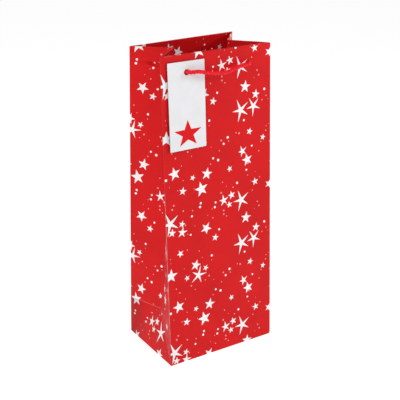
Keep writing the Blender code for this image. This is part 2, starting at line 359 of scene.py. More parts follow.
@dataclass(frozen=True)
class StudioWhite:
    """The pale sweep that the bag stands on."""

    glow: float = 0.70

    def material(self) -> bpy.types.Material:
        """The finish as a material."""
        recipe = Recipe("studio_white")
        recipe.set(
            Base_Color=(0.62, 0.62, 0.62, 1.0),
            Roughness=0.9,
            Specular_IOR_Level=0.0,
            Emission_Color=(1.0, 1.0, 1.0, 1.0),
            Emission_Strength=self.glow,
        )
        return recipe.material


# ---- meshes


def mesh_object(
    name: str,
    points: np.ndarray,
    faces: list,
    uv: np.ndarray,
    normals: np.ndarray,
    slots: np.ndarray,
    materials: list[bpy.types.Material],
) -> bpy.types.Object:
    """Makes an object from whole arrays.

    Args:
        name: The piece's name.
        points: The vertices, n by 3.
        faces: The faces' vertex numbers.
        uv: The UV place of each face corner, in the faces' order.
        normals: The normal of each face corner, in the faces' order.
        slots: The material slot of each face.
        materials: The materials, in the slots' order.

    Returns:
        The object, at the origin and in the scene.
    """
    mesh = bpy.data.meshes.new(name)
    mesh.from_pydata(points.tolist(), [], faces)
    layer = mesh.uv_layers.new(name="sheet")
    layer.data.foreach_set("uv", uv.astype(np.float32).ravel())
    mesh.polygons.foreach_set("material_index", slots.astype(np.int32))
    for material in materials:
        mesh.materials.append(material)
    mesh.shade_smooth()
    mesh.normals_split_custom_set(normals.tolist())
    mesh.update()
    piece = bpy.data.objects.new(name, mesh)
    bpy.context.scene.collection.objects.link(piece)
    return piece


def unit(vectors: np.ndarray) -> np.ndarray:
    """The vectors at unit length."""
    return vectors / np.maximum(np.linalg.norm(vectors, axis=-1, keepdims=True), 1e-12)


def surface_normals(shape: Shape, s: np.ndarray, t: np.ndarray, step: float = 0.00012) -> np.ndarray:
    """The outward normals of a surface: the cross product of its two central differences.

    Args:
        shape: The surface, from places on the flat sheet to points.
        s: The places' first coordinates.
        t: Their second coordinates.
        step: Half the distance of each difference.

    Returns:
        The unit normals, n by 3.
    """
    along = shape(s + step, t) - shape(s - step, t)
    up = shape(s, t + step) - shape(s, t - step)
    return unit(np.cross(along, up))


@dataclass
class CutSheet:
    """A flat sheet with its outline, holes, printed shapes and the lines that its triangles keep to, all as
    closed or open rows of points in metres. A constrained Delaunay triangulation joins them, so each printed
    shape has exact edges."""

    name: str
    outline: np.ndarray
    thickness: float
    holes: list[np.ndarray] = field(default_factory=list)
    printed: list[tuple[np.ndarray, int]] = field(default_factory=list)
    lines: list[np.ndarray] = field(default_factory=list)
    points: np.ndarray = field(default_factory=lambda: np.zeros((0, 2)))

    def triangles(self) -> tuple[np.ndarray, np.ndarray, np.ndarray]:
        """Cuts the flat sheet into triangles.

        Returns:
            The places, n by 2; the triangles' corners, m by 3; and the ink of each triangle.
        """
        rings = [self.outline, *self.holes, *(ring for ring, _ in self.printed)]
        rows = [*rings, *self.lines, self.points]
        starts = np.cumsum([0, *(len(row) for row in rows)])
        everything = np.concatenate(rows) / MM
        loops = [list(range(start, start + len(ring))) for start, ring in zip(starts, rings)]
        first = len(rings)
        edges = [
            (int(at), int(at) + 1)
            for start, row in zip(starts[first:], self.lines)
            for at in range(start, start + len(row) - 1)
        ]
        corners, _, faces, _, _, owners = delaunay_2d_cdt(
            [Vector(place) for place in everything], edges, loops, 0, 1e-5, True
        )
        ink_of = {number + 1 + len(self.holes): ink for number, (_, ink) in enumerate(self.printed)}
        holes = set(range(1, 1 + len(self.holes)))
        kept, inks = [], []
        for face, owner in zip(faces, owners):
            if 0 not in owner or holes.intersection(owner):
                continue
            kept.append(face)
            inks.append(max([ink_of.get(number, 0) for number in owner], key=lambda ink: (ink == 1, ink)))
        places = np.array([tuple(corner) for corner in corners]) * MM
        corners_of = np.array(kept)
        a, b, c = (places[corners_of[:, k]] for k in range(3))
        area = (b - a)[:, 0] * (c - a)[:, 1] - (b - a)[:, 1] * (c - a)[:, 0]
        corners_of[area < 0] = corners_of[area < 0][:, ::-1]
        real = np.abs(area) > 1e-12
        return places, corners_of[real], np.array(inks)[real]

    def solid(self, shape: Shape, materials: list[bpy.types.Material], backing: int) -> bpy.types.Object:
        """Bends the sheet into its shape and gives it its thickness: the printed face follows the shape, the
        backing lies one thickness inside it along the normals, and a strip closes every cut edge.

        Args:
            shape: The surface of the printed face.
            materials: The inks' materials and the backing's.
            backing: The slot of the backing and the cut edges.

        Returns:
            The finished piece.
        """
        places, tops, inks = self.triangles()
        used, tops = np.unique(tops, return_inverse=True)
        places, tops = places[used], tops.reshape(-1, 3)
        s, t = places.T
        outer, normals = shape(s, t), surface_normals(shape, s, t)
        count = len(places)
        points = np.concatenate([outer, outer - normals * self.thickness])
        under = tops[:, ::-1] + count
        ends = np.concatenate([tops[:, [0, 1]], tops[:, [1, 2]], tops[:, [2, 0]]])
        keys = ends.min(1) * count + ends.max(1)
        _, first, times = np.unique(keys, return_index=True, return_counts=True)
        rim = ends[first[times == 1]]
        strip = np.stack([rim[:, 1], rim[:, 0], rim[:, 0] + count, rim[:, 1] + count], axis=1)
        across = points[strip[:, 0]] - points[strip[:, 1]]
        side = unit(np.cross(points[strip[:, 2]] - points[strip[:, 1]], across))
        corners = np.concatenate([tops.ravel(), under.ravel(), strip.ravel()])
        backs = -normals[under.ravel() - count]
        corner_normals = np.concatenate([normals[tops.ravel()], backs, np.repeat(-side, 4, 0)])
        slots = np.concatenate([inks, np.full(len(under) + len(strip), backing)])
        faces = [*tops.tolist(), *under.tolist(), *strip.tolist()]
        uv = places[corners % count]
        return mesh_object(self.name, points, faces, uv, corner_normals, slots, materials)


def subdivided(
    outline: np.ndarray, step: float, s_stops: list[float], t_stops: list[float], clearance: float = 0.0003
) -> np.ndarray:
    """A closed outline with more points: each side gets points at an even step, at the s stops if it is level
    and at the t stops if it is upright.

    Args:
        outline: The corners.
        step: The largest distance between points.
        s_stops: Places wanted on the level sides.
        t_stops: Places wanted on the upright sides.
        clearance: The least distance between a stop and the even points.

    Returns:
        The outline's points.
    """
    rows = []
    for a, b in zip(outline, np.roll(outline, -1, axis=0)):
        length = float(np.linalg.norm(b - a))
        shares = np.linspace(0, 1, max(1, math.ceil(length / step)), endpoint=False)
        axis = 0 if abs(b[1] - a[1]) < 1e-9 else 1 if abs(b[0] - a[0]) < 1e-9 else None
        if axis is not None:
            wanted = (np.array(s_stops if axis == 0 else t_stops) - a[axis]) / (b[axis] - a[axis])
            wanted = wanted[(wanted > 0.0005 / length) & (wanted < 1 - 0.0005 / length)]
            clear = [
                share
                for share in shares
                if share == 0 or all(abs(share - stop) * length > clearance for stop in wanted)
            ]
            shares = np.sort(np.concatenate([clear, wanted]))
        rows.append(a + (b - a) * shares[:, None])
    return np.concatenate(rows)


def crossings(columns: np.ndarray, rows: np.ndarray) -> np.ndarray:
    """The points where columns and rows cross, row by row."""
    return np.stack([places.ravel() for places in np.meshgrid(columns, rows)], axis=1)


def ring(centre: tuple[float, float], radius: float, sides: int) -> np.ndarray:
    """A circle's outline."""
    angle = np.arange(sides) * 2 * math.pi / sides
    return np.array(centre) + radius * np.stack([np.cos(angle), np.sin(angle)], axis=1)


def star(
    centre: tuple[float, float], radius: float, waist: float, turn: float, lengths: tuple = (1.0,) * 5
) -> np.ndarray:
    """A star's outline: its points lie at the radius times their own lengths, its inner corners at the radius
    times the waist, by turns.

    Args:
        centre: The middle of the star.
        radius: The length of a full arm.
        waist: The inner corners' radius, as a share of the outer one.
        turn: How far the first arm leans clockwise from straight up, in degrees.
        lengths: Each arm's own share of the radius.

    Returns:
        The outline, anticlockwise.
    """
    arms = len(lengths)
    angle = math.radians(90 - turn) + np.arange(2 * arms) * math.pi / arms
    reach = np.full(2 * arms, radius * waist)
    reach[::2] = radius * np.array(lengths)
    return np.array(centre) + reach[:, None] * np.stack([np.cos(angle), np.sin(angle)], axis=1)


# ---- the print


class Motif(Enum):
    """The star shapes of the print, each with its waist and its arms' lengths."""

    SPARKLE = (0.235, (1.12, 0.92, 1.16, 0.98, 1.06))
    THIN = (0.30, (1.0, 0.80, 0.94, 0.84, 0.98))
    FAT = (0.395, (1.0, 0.96, 1.0, 0.95, 0.98))


@dataclass(frozen=True)
class StarPrint:
    """The repeat of the print. Places are (s, t) in millimetres from the repeat's corner, then a radius in
    millimetres and how far the star leans, in degrees."""

    across: float = 158.0
    rows: tuple = (-143.5, 1.2, 147.0, 288.6, 432.0)
    reach: float = 1.14
    dot_reach: float = 0.84
    sparkles: tuple = (
        (5, 13, 10.4, -22), (92, 21, 9.6, -19), (37, 95, 8.6, 16), (92, 118, 9.8, -21), (108, 120, 8.4, -31),
    )
    thin: tuple = ((19, 1, 6.0, 12), (70, 25, 6.0, -8), (94, 74, 5.6, -20), (147, 52, 6.2, 30))
    fat: tuple = (
        (7, 3, 4.2, 10), (48, -1, 6.0, 32), (98, 0, 6.0, 8), (19, 10, 3.6, 20), (77, 19, 3.5, -10),
        (80, 29, 4.2, -14), (128, 32, 4.6, 20), (110, 38, 4.0, -8), (21, 45, 4.1, 12), (43, 43, 7.4, -11),
        (33, 57, 3.0, 25), (50, 58, 6.0, 12), (78, 58, 3.2, -20), (12, 65, 6.4, -12), (100, 64, 6.0, -12),
        (120, 85, 3.2, 15), (23, 95, 3.2, -18), (103, 94, 3.6, 18), (4, 102, 7.2, 4), (46, 101, 3.3, 30),
        (34, 107, 5.6, 20), (16, 124, 3.8, -24), (59, 132, 3.8, 14), (111, 132, 4.6, 10), (135, 57, 6.0, -15),
        (142, 24, 5.0, 24), (146, 88, 6.6, -18), (138, 112, 3.8, 10), (150, 134, 4.4, -28),
    )
    dots: tuple = (
        (42, 28, 1.5), (60, 25, 1.3), (70, 14, 1.1), (10, 32, 1.1), (32, 22, 0.9), (29, 142, 1.3),
        (64, 140, 1.4), (122, 136, 1.6), (119, 125, 0.9), (96, 107, 1.4), (54, 113, 1.5), (90, 94, 1.2),
        (76, 92, 1.7), (68, 90, 1.1), (71, 86, 1.4), (77, 88, 0.8), (106, 78, 1.3), (50, 91, 1.1),
        (28, 85, 1.1), (58, 73, 1.4), (64, 70, 1.7), (99, 53, 1.3), (87, 41, 1.6), (2, 60, 1.7),
        (41, 24, 1.6), (59, 20, 1.5), (8, 28, 1.2), (31, 16, 1.4), (70, 10, 1.1), (115, 10, 1.1),
        (67, 34, 1.2), (23, 8, 1.0), (21, 24, 1.1), (113, 15, 1.0), (101, 60, 1.1), (140, 38, 1.4),
        (152, 70, 1.6), (134, 76, 1.2), (144, 102, 1.5), (136, 8, 1.2), (150, 12, 1.0), (133, 128, 1.4),
    )
    white_dot: float = 1.25
    specks: int = 46
    speck_rise: float = 144.0
    seed: int = 11

    def shapes(self, low: tuple[float, float], high: tuple[float, float]) -> list[tuple[np.ndarray, int]]:
        """Every printed shape whose middle lies on the sheet.

        Args:
            low: The sheet's lowest s and t, in metres.
            high: Its highest.

        Returns:
            Outlines with their inks.
        """
        made: list[tuple[np.ndarray, int]] = []
        for motif, rows in ((Motif.SPARKLE, self.sparkles), (Motif.THIN, self.thin), (Motif.FAT, self.fat)):
            waist, lengths = motif.value
            for s, t, radius, lean in rows:
                for place in self._repeats(s, t, low, high, radius):
                    shape = star(place, radius * self.reach * MM, waist, lean, lengths)
                    made.append((shape, Ink.WHITE.value))
        for s, t, radius in (*self.dots, *self._specks()):
            ink = Ink.WHITE if radius >= self.white_dot else Ink.PINK
            sides = 10 if radius >= 1.0 else 7
            for place in self._repeats(s, t, low, high, radius):
                made.append((ring(place, radius * self.dot_reach * MM, sides), ink.value))
        return made

    def _repeats(
        self, s: float, t: float, low: tuple[float, float], high: tuple[float, float], radius: float
    ) -> list[tuple[float, float]]:
        """The places of one motif in every repeat that the sheet reaches."""
        first = math.floor((low[0] / MM - s) / self.across)
        last = math.ceil((high[0] / MM - s) / self.across)
        columns = range(first, last + 1)
        places = [((s + self.across * i) * MM, (t + row) * MM) for i in columns for row in self.rows]
        edge = radius * MM
        return [
            place
            for place in places
            if low[0] - edge < place[0] < high[0] + edge and low[1] - edge < place[1] < high[1] + edge
        ]

    def _specks(self) -> list[tuple[float, float, float]]:
        """The smallest dots of the repeat, scattered at random but clear of the stars and the other dots."""
        draw = np.random.default_rng(self.seed)
        taken = [(s, t, radius + 0.8) for s, t, radius, _ in (*self.sparkles, *self.thin, *self.fat)]
        taken += [(s, t, radius + 1.0) for s, t, radius in self.dots]
        made: list[tuple[float, float, float]] = []
        while len(made) < self.specks:
            s, t = draw.uniform(0, self.across), draw.uniform(0, self.speck_rise)
            radius = draw.uniform(0.45, 0.95)
            if all(math.hypot(s - x, t - y) > reach + radius for x, y, reach in taken):
                made.append((s, t, radius))
                taken.append((s, t, radius + 2.0))
        return made


# ---- the folded sheet


@dataclass(frozen=True)
class PaperBody:
    """The bag's one sheet, folded and glued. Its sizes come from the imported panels."""

    width: float
    depth: float
    height: float
    front_mouth: float
    back_mouth_left: float
    back_mouth_right: float
    hole_x: float
    hole_z: float
    thickness: float = 0.0003
    panel_stack: float = 0.0021
    gusset_stack: float = 0.0010
    hem: float = 0.040
    fold: float = 0.0006
    seam_inset: float = 0.00045
    tab: float = 0.0115
    hole_radius: float = 0.0025
    flap_levels: tuple[float, float, float, float] = (0.0, 0.0016, 0.0008, 0.0016)
    flap_rise: float = 0.006
    dent_in: float = 0.0245
    dent_down: float = 0.0176
    dent_slope: float = 0.19
    wave: float = 0.00022
    bulge: float = 0.0010

    @property
    def knee(self) -> float:
        """The height at which a gusset's middle crease parts into the two that run to the base's corners."""
        return self.depth / 2

    @property
    def round_length(self) -> float:
        """The way once round the bag."""
        return 2 * (self.width + self.depth)

    @property
    def top(self) -> float:
        """The flat sheet's upper edge, which ends up as the hem's lower edge."""
        return self.height + self.panel_stack + self.hem

    @property
    def folds(self) -> tuple[float, ...]:
        """The upright folds' places, from the front panel's right edge on."""
        w, d = self.width, self.depth
        return (w, w + d / 2, w + d, 2 * w + d, 2 * w + 1.5 * d, 2 * (w + d))

    def front_y(self, z: np.ndarray) -> np.ndarray:
        """The front panel's outer face."""
        return -(self.depth / 2 - (self.depth / 2 - self.front_mouth) * z / self.height)

    def back_y(self, x: np.ndarray, z: np.ndarray) -> np.ndarray:
        """The back panel's outer face, which leans more on its left than on its right."""
        wider = self.back_mouth_right - self.back_mouth_left
        mouth = self.back_mouth_left + wider * (x / self.width + 0.5)
        return self.depth / 2 - (self.depth / 2 - mouth) * z / self.height

    def crease_inset(self, side: int, z: np.ndarray) -> np.ndarray:
        """How far a gusset's middle crease lies inside the bag's side, from the right triangle whose long
        side is half the bag's depth and whose short side is half the gap between the panels' edges."""
        z = np.maximum(z, self.knee)
        half_gap = (self.back_y(side * self.width / 2, z) - self.front_y(z)) / 2
        return np.sqrt(np.maximum(self.knee**2 - half_gap**2, 0.0))

    def outer(self, s: np.ndarray, z: np.ndarray) -> np.ndarray:
        """The printed face with sharp folds. The panels are flat. A gusset's points go inwards in proportion
        to their distance from the nearer panel and, under the knee, to no more than their own height."""
        w, d, half = self.width, self.depth, self.width / 2
        front, right, back = s < w, (s >= w) & (s < w + d), (s >= w + d) & (s < 2 * w + d)
        left, tab = (s >= 2 * w + d) & (s < self.round_length), s >= self.round_length
        x, y = np.zeros_like(s), np.zeros_like(s)
        x[front], y[front] = s[front] - half, self.front_y(z[front])
        for mask, start, side in ((right, w, 1), (left, 2 * w + d, -1)):
            q, height = s[mask] - start, z[mask]
            reach = np.minimum(np.minimum(q, d - q), np.clip(height, 0, self.knee))
            x[mask] = side * (half - self.crease_inset(side, height) * reach / self.knee)
            share = q / d if side > 0 else 1 - q / d
            near = self.front_y(height)
            y[mask] = near + (self.back_y(side * half, height) - near) * share
        glued = np.where(left, np.clip((s - 2 * w - d) / d, 0, 1), 0.0) * self.seam_inset
        x, y = x + 0.4 * glued, y + glued
        x[back] = half - (s[back] - w - d)
        y[back] = self.back_y(x[back], z[back])
        x[tab] = s[tab] - self.round_length - half + 0.4 * self.seam_inset
        y[tab] = self.front_y(z[tab]) + self.seam_inset
        return np.stack([x, y, z], axis=-1)

    def inner(self, s: np.ndarray, z: np.ndarray) -> np.ndarray:
        """The turned-in hem with sharp folds: straight runs between the corners where the panels and gussets,
        each moved inwards by what lies between them and the hem, meet."""
        half = self.width / 2
        corners = []
        whole_side = ("front", "crease", "back")
        for side, names in ((-1, ("front",)), (1, whole_side), (-1, whole_side[::-1])):
            inset = self.crease_inset(side, z)
            y_front, y_back = self.front_y(z), self.back_y(side * half, z)
            lean = (y_back - y_front) / 2 / self.knee
            flat = inset / self.knee
            run = (self.gusset_stack + flat * self.panel_stack) / lean
            places = {
                "front": (side * (half - run), y_front + self.panel_stack),
                "crease": (side * (half - inset - self.gusset_stack / lean), (y_front + y_back) / 2),
                "back": (side * (half - run), y_back - self.panel_stack),
            }
            corners += [np.stack(places[name], axis=-1) for name in names]
        stops = np.array([0.0, *self.folds])
        grid = np.stack(corners, axis=1)
        part = np.clip(np.searchsorted(stops, s, side="right") - 1, 0, len(stops) - 2)
        share = (s - stops[part]) / (stops[part + 1] - stops[part])
        rows = np.arange(len(s))
        plan = grid[rows, part] + (grid[rows, part + 1] - grid[rows, part]) * share[:, None]
        return np.concatenate([plan, z[:, None]], axis=1)

    def flap(self, s: np.ndarray, t: np.ndarray) -> np.ndarray:
        """The base flaps with sharp folds: level, and inwards from each side by the distance below the base
        line. Each flap rises to its own level in the pile over its first few millimetres."""
        stops = np.array([0.0, self.folds[0], self.folds[2], self.folds[3], self.folds[5]])
        part = np.clip(np.searchsorted(stops, s, side="right") - 1, 0, 3)
        s = np.clip(s, stops[part] + 1e-6, stops[part + 1] - 1e-6)
        start = self.outer(s, np.zeros_like(s))
        inwards = np.array([(0, 1), (-1, 0), (0, -1), (1, 0)], float)[part]
        rise = np.clip(-t / self.flap_rise, 0, 1)
        start[:, :2] += inwards * -t[:, None]
        start[:, 2] = np.array(self.flap_levels)[part] * rise * rise * (3 - 2 * rise)
        return start

    def sharp(self, s: np.ndarray, t: np.ndarray) -> np.ndarray:
        """The whole sheet with sharp folds: flaps below the base line, the outer face up to the mouth,
        straight across the edge, and down again as the hem."""
        points = self.outer(s, np.clip(t, 0, self.height))
        low = t < 0
        if low.any():
            points[low] = self.flap(s[low], t[low])
        high = t > self.height
        if high.any():
            across = np.clip((t[high] - self.height) / self.panel_stack, 0, 1)[:, None]
            down = np.minimum(2 * self.height + self.panel_stack - t[high], self.height)
            hem = self.inner(np.clip(s[high], 0, self.round_length), down)
            points[high] = points[high] * (1 - across) + hem * across
        return points

    def rounded(self, s: np.ndarray, t: np.ndarray) -> np.ndarray:
        """The sheet with rounded folds: each point is the mean of the sharp sheet's points on a square grid,
        up to the fold's radius away on either side in s and in t."""
        steps = np.linspace(-1, 1, 5) * self.fold
        return sum(self.sharp(s + ds, t + dt) for ds in steps for dt in steps) / len(steps) ** 2

    def settled(self, s: np.ndarray, t: np.ndarray) -> np.ndarray:
        """The rounded sheet with what handling does to paper, along its normals: shallow waves on the panels
        and gussets, a short dent near the left gusset's top and a bulge over its back corner at the base."""
        mirrored = t > self.height + self.panel_stack / 2
        z = np.where(mirrored, 2 * self.height + self.panel_stack - t, t)
        along = self._waves(s, z) + self._dent(s, z, mirrored) + self._bulge(s, z)
        along = np.where(t < 0, 0.0, along) * np.where(mirrored, -1.0, 1.0)
        return self.rounded(s, t) + surface_normals(self.rounded, s, t) * along[:, None]

    def _waves(self, s: np.ndarray, z: np.ndarray) -> np.ndarray:
        """Slow waves that die out at the folds and the base: products of sines."""
        stops = np.array([0.0, *self.folds])
        part = np.clip(np.searchsorted(stops, s, side="right") - 1, 0, len(stops) - 2)
        share = np.clip((s - stops[part]) / (stops[part + 1] - stops[part]), 0, 1)
        calm = np.sin(math.pi * share) * np.clip(z / 0.06, 0, 1) * np.where(s > self.round_length, 0.0, 1.0)
        ripple = np.sin(z * 31 + part * 1.9) + 0.6 * np.sin(z * 67 + share * 4.0 + part)
        return self.wave * calm * ripple

    def _dent(self, s: np.ndarray, z: np.ndarray, hem: np.ndarray) -> np.ndarray:
        """A dent like a short slanting groove, in the left gusset's back half: a bell curve across and along.
        The hem behind it gives way over a wider area, so that it stays clear."""
        middle = self.folds[3] + self.dent_in
        centre = self.height - self.dent_down - self.dent_slope * (s - middle)
        bell = np.exp(-(((s - middle) / 0.0095) ** 2) - ((z - centre) / 0.0017) ** 2)
        wide = np.exp(-(((s - middle) / 0.0150) ** 4) - ((z - centre) / 0.0045) ** 4)
        return np.where(hem, -0.0034 * wide, -0.0028 * bell)

    def _bulge(self, s: np.ndarray, z: np.ndarray) -> np.ndarray:
        """A slight bulge in the triangle between the back edge, the knee and the slanting crease: the product
        of the distances from its three sides, which is nothing on each side, times 27, so that its largest
        value is the bulge's height."""
        reach = np.clip(s - self.folds[3], 0, self.knee)
        height = np.clip(z, 0, self.knee)
        inside = np.clip(height - reach, 0, self.knee) * reach * (self.knee - height)
        return self.bulge * 27 * inside / self.knee**3

    def blank(self) -> np.ndarray:
        """The flat sheet's outline: the body with its base flaps below, and the seam tab at its right."""
        w, d, mm = self.width, self.depth, MM
        line: list[tuple[float, float]] = []
        for start, length, main in ((0.0, w, True), (w, d, False), (w + d, w, True), (2 * w + d, d, False)):
            end, far = start + length, length / mm
            if main:
                cuts = ((0, 0), (45.5, -45.5), (45.5, -57), (far - 45.5, -57), (far - 45.5, -45.5))
            else:
                cuts = ((0, 0), (8, -8), (12, -42), (far - 12, -42), (far - 8, -8))
            line += [(start + x * mm, y * mm) for x, y in cuts]
        foot, head, slant = 5 * mm, self.height - self.hem - 2 * mm, 4 * mm
        line += [(end, 0.0), (end, foot), (end + self.tab, foot + slant)]
        line += [(end + self.tab, head - slant), (end, head)]
        line += [(end, self.top), (0.0, self.top)]
        levels = [t + ds for t in (self.height, self.height + self.panel_stack) for ds in self.spread]
        places = [s + ds for s in self.folds[:5] for ds in self.spread]
        return subdivided(np.array(line), 0.004, places, levels)

    def cord_holes(self) -> list[np.ndarray]:
        """The punched holes, in the panels and again in the hem."""
        down = 2 * self.height + self.panel_stack - self.hole_z
        middles = []
        for hand in (-1, 1):
            x = hand * self.hole_x
            for s in (x + self.width / 2, self.folds[2] + self.width / 2 - x):
                middles += [(s, self.hole_z), (self._hem_place(s), down)]
        return [ring(middle, self.hole_radius, 24) for middle in middles]

    def _hem_place(self, s: float) -> float:
        """Where on the shorter hem a hole is punched, so that it lies behind the panel's hole."""
        start = 0.0 if s < self.width else self.folds[2]
        near_ends = np.array([start + 1e-6, start + self.width - 1e-6])
        ends = self.inner(near_ends, np.full(2, self.hole_z))[:, 0]
        wanted = self.outer(np.array([s]), np.full(1, self.hole_z))[0, 0]
        return start + self.width * float((wanted - ends[0]) / (ends[1] - ends[0]))

    @property
    def spread(self) -> np.ndarray:
        """Where the rows of points lie across a fold."""
        return np.array([-1.2, -0.8, -0.4, 0.0, 0.4, 0.8, 1.2]) * self.fold

    def fold_lines(self) -> list[np.ndarray]:
        """Rows of points along every fold, close together across it, which the triangles keep to."""
        spread = self.spread
        wall = np.linspace(0.002, self.height - 0.002, 78)
        upright = np.concatenate([wall, np.linspace(self.height + 0.004, self.top - 0.001, 9)])
        last = upright[upright < self.top - 0.001]
        tab = upright[(upright > 0.007) & (upright < self.height - self.hem - 0.004)]
        rows = [(s + ds, upright) for s in self.folds[:5] for ds in spread]
        rows += [(self.folds[5] - ds, last) for ds in (0.0003, 0.0007, 0.0011)]
        rows += [(self.folds[5] + ds, tab) for ds in (0.0, 0.0004, 0.0008, 0.0012)]
        lines = [np.stack([np.full_like(heights, s), heights], axis=1) for s, heights in rows]
        level = np.linspace(0.0015, self.round_length - 0.0015, 95)
        levels = [*(spread * 1.2), *(self.height + spread), *(self.height + self.panel_stack + spread)]
        lines += [np.stack([level, np.full_like(level, t)], axis=1) for t in levels]
        for start in (self.folds[0], self.folds[3]):
            run = np.linspace(0.002, self.knee, 12)
            for shift in (-0.0007, 0.0, 0.0007):
                lines.append(np.stack([start + run, run + shift], axis=1))
                lines.append(np.stack([start + self.depth - run, run + shift], axis=1))
        return lines

    def grid(self) -> np.ndarray:
        """Loose points all over the sheet, and closer together at the dent."""
        length = self.round_length / MM
        plain = crossings(np.arange(2.5, length, 5.0), np.arange(3.0, self.top / MM, 5.0)) * MM
        s, t = crossings(np.linspace(-0.020, 0.020, 34), np.linspace(-0.009, 0.009, 22)).T
        middle = self.folds[3] + self.dent_in - 0.001
        dent = np.stack([middle + s, self.height - self.dent_down + t - self.dent_slope * s], axis=1)
        flaps = crossings(np.arange(2, length, 6.0), np.arange(-54, -2, 6.0)) * MM
        return np.concatenate([plain, dent, flaps])

    def build(self, finish: LaminatedPrint, paper: BarePaper) -> bpy.types.Object:
        """Cuts, prints and folds the sheet.

        Args:
            finish: The printed side.
            paper: The unprinted side.

        Returns:
            The sheet, riding on the bag.
        """
        low, high = (-0.002, -0.060), (self.round_length + self.tab, self.top)
        sheet = CutSheet(
            "folded_paper_body",
            self.blank(),
            self.thickness,
            holes=self.cord_holes(),
            printed=StarPrint().shapes(low, high),
            lines=self.fold_lines(),
            points=self.grid(),
        )
        materials = [finish.material(ink) for ink in Ink] + [paper.material()]
        piece = sheet.solid(self.settled, materials, len(Ink))
        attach(piece, "bag")
        panels = [f"{side}_{part}" for part in ("panel", "top_hem") for side in ("front", "back")]
        ends = [f"{side}_gusset_{end}" for side in ("left", "right") for end in ("front", "back")]
        halves = [f"{end}_{part}" for end in ends for part in ("half", "hem")]
        flaps = [f"{side}_base_flap" for side in ("front", "back", "left", "right")]
        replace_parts(piece, *panels, "side_seam_tab", *halves, *flaps)
        return piece


# ---- the gift tag


@dataclass(frozen=True)
class GiftTag:
    """The white card tag with one red star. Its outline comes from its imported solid."""

    thickness: float = 0.0005
    stand_off: float = 0.0015
    star_drop: float = 0.0722
    star_squash: float = 0.86
    star_radius: float = 0.0166
    star_waist: float = 0.40
    hole_radius: float = 0.0030
    hole_play: float = 0.0005
    corner: float = 0.0005
    curl: float = 0.0007

    def build(self, body: PaperBody, card: TagCard, pin: Vector) -> bpy.types.Object:
        """Makes the tag: a cut card that leans with the front panel and bows away from it slightly.

        Args:
            body: The bag's sheet, which the tag lies against.
            card: The tag's finish.
            pin: The place of the tag's joint, a little above the middle of its hole.

        Returns:
            The tag, riding on its own body.
        """
        low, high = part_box("gift_tag")
        middle = (low.x + high.x) / 2
        cut = self.corner
        outline = np.array(
            [
                (low.x + cut, low.z), (high.x - cut, low.z), (high.x, low.z + cut), (high.x, high.z - cut),
                (high.x - cut, high.z), (low.x + cut, high.z), (low.x, high.z - cut), (low.x, low.z + cut),
            ]
        )
        length = high.z - low.z

        def shape(x: np.ndarray, z: np.ndarray) -> np.ndarray:
            """The card's front: the panel's slope moved out, with a bow that grows with the square of the
            drop."""
            drop = (high.z - z) / length
            bow = self.curl * drop**2 * (0.7 + 0.6 * (middle - x) / (high.x - low.x))
            return np.stack([x, body.front_y(z) - self.stand_off - bow, z], axis=-1)

        margin = 0.004
        columns = np.linspace(low.x + margin, high.x - margin, 8)
        rows = np.linspace(low.z + margin, high.z - margin, 18)
        centre = np.array([middle, high.z - self.star_drop])
        upright_star = star((0.0, 0.0), self.star_radius, self.star_waist, 0.0)
        red_star = centre + upright_star * np.array([1.0, self.star_squash])
        sheet = CutSheet(
            "star_gift_tag",
            outline,
            self.thickness,
            holes=[ring((pin.x, pin.z - self.hole_play), self.hole_radius, 32)],
            printed=[(red_star, 1)],
            points=crossings(columns, rows),
        )
        white = card.material(Ink.WHITE)
        piece = sheet.solid(shape, [white, card.material(Ink.RED), white], 2)
        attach(piece, "tag")
        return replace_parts(piece, "gift_tag")


# ---- the cords


def smooth_path(route: np.ndarray, spacing: float) -> np.ndarray:
    """A smooth curve through a route's points (Catmull-Rom), at an even spacing.

    Args:
        route: The points, n by 3.
        spacing: The distance between the curve's points.

    Returns:
        The curve's points, from the route's first point to its last.
    """
    whole = np.concatenate([[2 * route[0] - route[1]], route, [2 * route[-1] - route[-2]]])
    a, b, c, d = (whole[k : len(whole) - 3 + k, None, :] for k in range(4))
    u = np.linspace(0, 1, 40, endpoint=False)[None, :, None]
    curve = 0.5 * (2 * b + (c - a) * u + (2 * a - 5 * b + 4 * c - d) * u**2 + (3 * b - a - 3 * c + d) * u**3)
    curve = np.concatenate([curve.reshape(-1, 3), route[-1:]])
    gone = np.concatenate([[0], np.cumsum(np.linalg.norm(np.diff(curve, axis=0), axis=1))])
    stations = np.linspace(0, gone[-1], max(4, round(gone[-1] / spacing)) + 1)
    return np.stack([np.interp(stations, gone, curve[:, k]) for k in range(3)], axis=1)


def length_of(path: np.ndarray) -> float:
    """The length of a line of points."""
    return float(np.linalg.norm(np.diff(path, axis=0), axis=1).sum())


